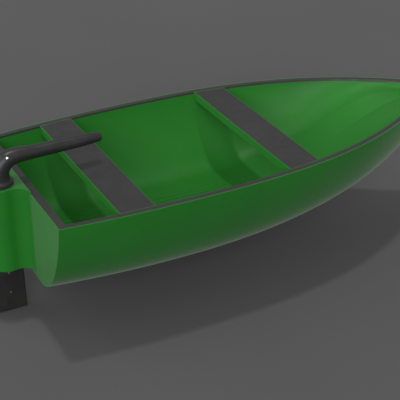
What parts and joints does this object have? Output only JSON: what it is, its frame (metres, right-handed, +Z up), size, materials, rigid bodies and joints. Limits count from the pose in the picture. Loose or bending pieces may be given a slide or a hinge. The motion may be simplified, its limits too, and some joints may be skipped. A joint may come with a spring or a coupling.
{
  "type": "square-stern rowing tender",
  "caption": "Small moulded square-stern open boat with an inner liner, flush thwarts, dark gunwale rails and a trunk-hung rudder turned by a long tiller.",
  "frame": {"origin": "under the middle of the overall length and beam, at the level of the rudder blade's bottom edge", "axes": "+X to the bow, +Y to port, +Z up, square to the gunwale rails' top faces"},
  "size_m": [3.0716, 1.2722, 1.0091],
  "materials": {
    "hull_green": "glossy",
    "liner_green": "satin",
    "thwart_green": "satin",
    "rail_grey": "matte",
    "seat_grey": "matte",
    "helm_grey": "satin",
    "blade_grey": "satin",
    "runner_grey": "matte",
    "bush_white": "satin",
    "cleat_green": "matte",
    "web_foam": "matte",
    "rubber_black": "matte",
    "plug_white": "glossy",
    "stock_alloy": "satin",
    "core_ash": "matte",
    "stainless": "polished"
  },
  "bodies": {
    "hull": {"hull_shell": "hull_green", "inner_liner": "liner_green", "transom_rail": "rail_grey", "bow_cap": "rail_grey", "port_rail": "rail_grey", "starboard_rail": "rail_grey", "bow_fender": "rubber_black", "aft_thwart_beam": "thwart_green", "forward_thwart_beam": "thwart_green", "aft_thwart_top": "seat_grey", "forward_thwart_top": "seat_grey", "aft_port_cleat": "cleat_green", "aft_starboard_cleat": "cleat_green", "forward_port_cleat": "cleat_green", "forward_starboard_cleat": "cleat_green", "thwart_screws": "stainless", "floor_panel": "liner_green", "port_floor_bearer": "web_foam", "starboard_floor_bearer": "web_foam", "bow_bearer": "web_foam", "port_bilge_runner": "runner_grey", "starboard_bilge_runner": "runner_grey", "runner_screws": "stainless", "rudder_tube": "bush_white", "upper_bush": "bush_white", "lower_bush": "bush_white", "bearing_cap": "helm_grey", "cap_screws": "stainless", "drain_socket": "rail_grey", "drain_screws": "stainless", "bow_eye": "stainless", "eye_backing": "stock_alloy", "eye_nut": "stainless"},
    "helm": {"thrust_washer": "bush_white", "rudder_stock": "stock_alloy", "tiller_arm": "helm_grey", "tiller_core": "core_ash", "core_screw": "stainless", "head_pin": "stainless", "rudder_blade": "blade_grey", "blade_bolts": "stainless", "blade_nuts": "stainless"},
    "plug": {"drain_plug": "plug_white", "plug_seal": "rubber_black"}
  },
  "joints": [
    {"name": "steering", "type": "hinge", "parent": "hull", "child": "helm", "pos_m": [-1.39275, 0, 0.56], "axis": [0, 0, 1], "range_deg": [-40, 40]},
    {"name": "plug_pull", "type": "slide", "parent": "hull", "child": "plug", "axis": [-1, 0, 0], "range_m": [0, 0.03]}
  ]
}
